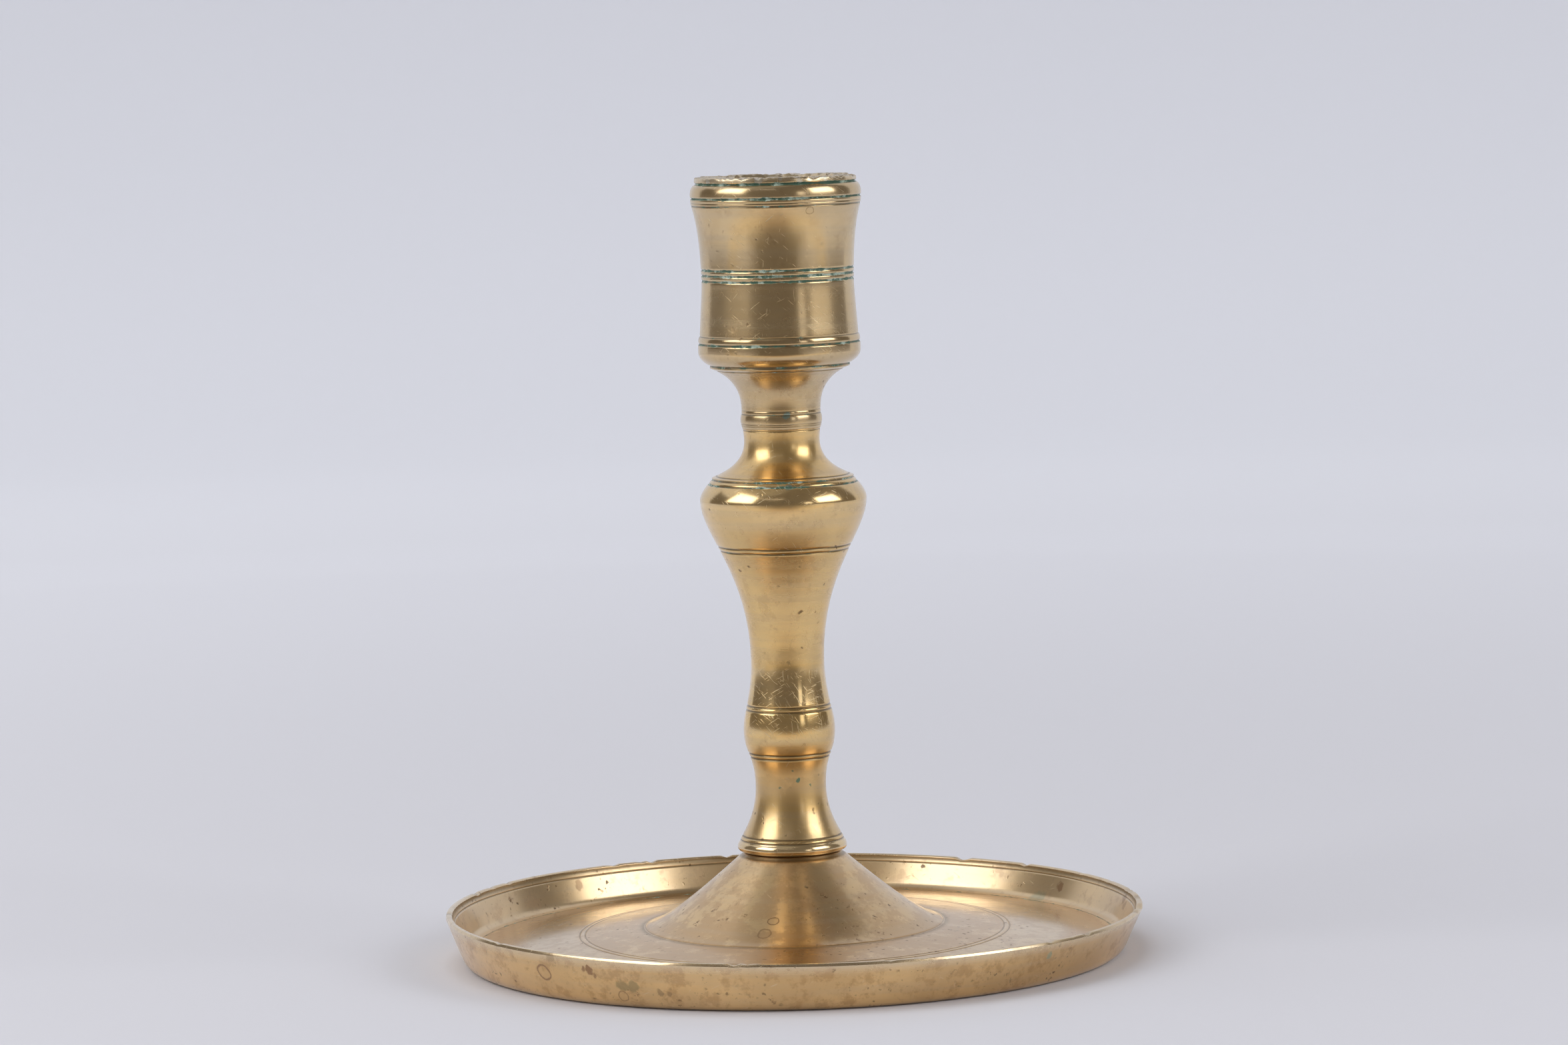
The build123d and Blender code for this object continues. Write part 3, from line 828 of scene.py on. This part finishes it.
def glowMaterial(name, tint, radiance):
    material = bpy.data.materials.new(name)
    material.use_nodes = True
    tree = material.node_tree
    glow = addNode(tree, "Emission", {"Color": (*tint, 1), "Strength": radiance})
    tree.links.new(glow.outputs[0], tree.nodes["Material Output"].inputs["Surface"])
    return material


def addStage(name, bm, material):
    prop = addMesh(name, bm, material)
    return prop


def mirrorOnly(prop):  # seen in the brass, but not by the camera or the paper
    prop.visible_camera = prop.visible_diffuse = prop.visible_shadow = False


def addLevel(bm, size, middle):  # a flat rectangle
    corners = bmesh.ops.create_grid(bm, x_segments=1, y_segments=1, size=0.5)["verts"]
    bmesh.ops.scale(bm, verts=corners, vec=(*size, 1))
    bmesh.ops.translate(bm, verts=corners, vec=middle)


def makePaper():
    paper = paperMaterial()
    table = studio["table"]
    side, front, back = table["side"], table["front"], table["back"]
    wingFrom, wingFront = table["wingFrom"], table["wingFront"]
    level = table["level"] * mm
    bm = bmesh.new()
    addLevel(bm, (2 * side, front + back), (0, (back - front) / 2, level))
    for way in (-1, 1):  # the table reaches further forward beside the camera
        middle = (way * (side + wingFrom) / 2, -(wingFront + front) / 2, level)
        addLevel(bm, (side - wingFrom, wingFront - front), middle)
    addStage("table_paper", bm, paper)
    sweep = studio["sweep"]
    low, wall = sweep["level"], sweep["wall"]
    strokes = [[(sweep["flat"], low)], [(sweep["knee"], low), (wall, sweep["bend"])], [(wall, sweep["top"])]]
    bm = drawOutline((0, low), strokes, sweep["detail"])
    turn(bm, sweep["steps"])
    addStage("sweep_paper", bm, paper).visible_glossy = False


def addFrontCard():  # a glowing card on the table, seen only in the brass, that paints the lit table's reflection: warm in the middle, paler beside it and darker towards the far edge; it fades in from the stick
    card = studio["frontCard"]
    material = bpy.data.materials.new("front card glow")
    material.use_nodes = True
    tree = material.node_tree
    across = addNode(tree, "SeparateXYZ", {0: addNode(tree, "TexCoord").outputs["Object"]}).outputs
    beside = ramp(tree, math2(tree, "ABSOLUTE", across[0], 0.0), *card["besideBand"])
    tint = mixColour(tree, ramp(tree, across[1], *card["edgeBand"]), card["middle"], card["edge"])
    tint = mixColour(tree, beside, tint, card["beside"])
    clear = addNode(tree, "BsdfTransparent").outputs[0]
    glow = addNode(tree, "Emission", {"Color": tint}).outputs[0]
    shown = ramp(tree, across[1], *card["shownBand"])
    surface = addNode(tree, "MixShader", {0: shown, 1: clear, 2: glow}).outputs[0]
    tree.links.new(surface, tree.nodes["Material Output"].inputs["Surface"])
    bm = bmesh.new()
    near, far = card["near"], card["far"]
    addLevel(bm, (2 * card["side"], far - near), (0, -(far + near) / 2, card["level"] * mm))
    mirrorOnly(addStage("front_card", bm, material))


def addSheet(name, sheet):  # an upright sheet curved round the stick, between two azimuths
    start, sweep = math.radians(sheet["from"]), math.radians(sheet["to"] - sheet["from"])
    bm = bmesh.new()
    foot = Vector((math.sin(start), -math.cos(start), 0)) * sheet["reach"]
    low, high = [bm.verts.new(foot + Vector((0, 0, sheet[level]))) for level in ("low", "high")]
    edge = bm.edges.new((low, high))
    bmesh.ops.spin(bm, geom=[low, high, edge], cent=(0, 0, 0), axis=(0, 0, 1), dvec=(0, 0, 0), angle=sweep,
                   steps=studio["sheetSteps"], use_merge=False, use_normal_flip=False, use_duplicate=False)
    mirrorOnly(addStage(name, bm, glowMaterial(name + " glow", studio["sheetTint"], sheet["radiance"])))


def addCeiling():
    ceiling = studio["ceiling"]
    bm = bmesh.new()
    bmesh.ops.create_circle(bm, cap_ends=True, radius=ceiling["reach"], segments=ceiling["sides"])
    bmesh.ops.translate(bm, verts=bm.verts[:], vec=(-ceiling["left"], 0, ceiling["height"]))
    glow = glowMaterial("ceiling glow", ceiling["tint"], ceiling["radiance"])
    mirrorOnly(addStage("ceiling_card", bm, glow))


def addSoftBox(name, box):  # an upright panel between two azimuths and two elevations
    azimuth = math.radians((box["from"] + box["to"]) / 2)
    low, high = [box["away"] * math.tan(math.radians(box[level])) for level in ("low", "high")]
    toward = Vector((math.sin(azimuth), -math.cos(azimuth), 0))
    lamp = bpy.data.lights.new(name, "AREA")
    lamp.shape = "RECTANGLE"
    lamp.size = 2 * box["away"] * math.tan(math.radians(box["to"] - box["from"]) / 2)
    lamp.size_y = high - low
    lamp.color = studio["boxTint"]
    lamp.energy = box["radiance"] * math.pi * lamp.size * lamp.size_y
    softBox = bpy.data.objects.new(name, lamp)
    softBox.location = toward * box["away"] + Vector((0, 0, studio["aim"] + (low + high) / 2))
    softBox.rotation_euler = toward.to_track_quat("Z", "Y").to_euler()
    softBox.visible_camera = False
    bpy.context.scene.collection.objects.link(softBox)


def addFill():  # lifts the paper's shadows, without a mirror image in the brass
    fill = studio["fill"]
    lamp = bpy.data.lights.new("overhead fill", "AREA")
    lamp.size = fill["size"]
    lamp.energy = fill["radiance"] * math.pi * fill["size"] ** 2
    overhead = bpy.data.objects.new("overhead fill", lamp)
    overhead.location = (-fill["left"], 0, fill["height"])
    overhead.visible_camera = overhead.visible_glossy = False
    bpy.context.scene.collection.objects.link(overhead)


def makeRoom():
    world = bpy.data.worlds.new("dim room")
    world.use_nodes = True
    world.node_tree.nodes["Background"].inputs["Color"].default_value = (*studio["room"], 1)
    bpy.context.scene.world = world


# camera: the photograph's own view, a little above the rim

view = {
    "away": 1.04935, "height": 0.1792,  # metres
    "pitch": 5.14, "roll": 1.5,  # degrees
    "focalPixels": 8113, "photoPixels": 2352,
    "clip": (0.05, 20),
}


def makeCamera():
    lens = bpy.data.cameras.new("photo view")
    lens.sensor_fit = "HORIZONTAL"
    lens.lens = lens.sensor_width * view["focalPixels"] / view["photoPixels"]
    lens.clip_start, lens.clip_end = view["clip"]
    camera = bpy.data.objects.new("photo view", lens)
    upright = Euler((math.radians(90 - view["pitch"]), 0, 0)).to_matrix().to_4x4()
    rolled = Matrix.Rotation(math.radians(-view["roll"]), 4, "Z")
    camera.matrix_world = Matrix.Translation((0, -view["away"], view["height"])) @ upright @ rolled
    bpy.context.scene.collection.objects.link(camera)
    bpy.context.scene.camera = camera
    bpy.context.scene.view_settings.view_transform = "Standard"


makeTray()
makeStem()
makeSocket()
studBrass = brass("stud brass", studLook)
for stud in ("foot_stud", "neck_stud"):
    makeStud(stud, studBrass)
makePaper()
addFrontCard()
for sheetName, sheet in studio["sheets"].items():
    addSheet(sheetName, sheet)
addCeiling()
for boxName, box in studio["boxes"].items():
    addSoftBox(boxName, box)
addFill()
makeRoom()
makeCamera()
print("studio and camera set")
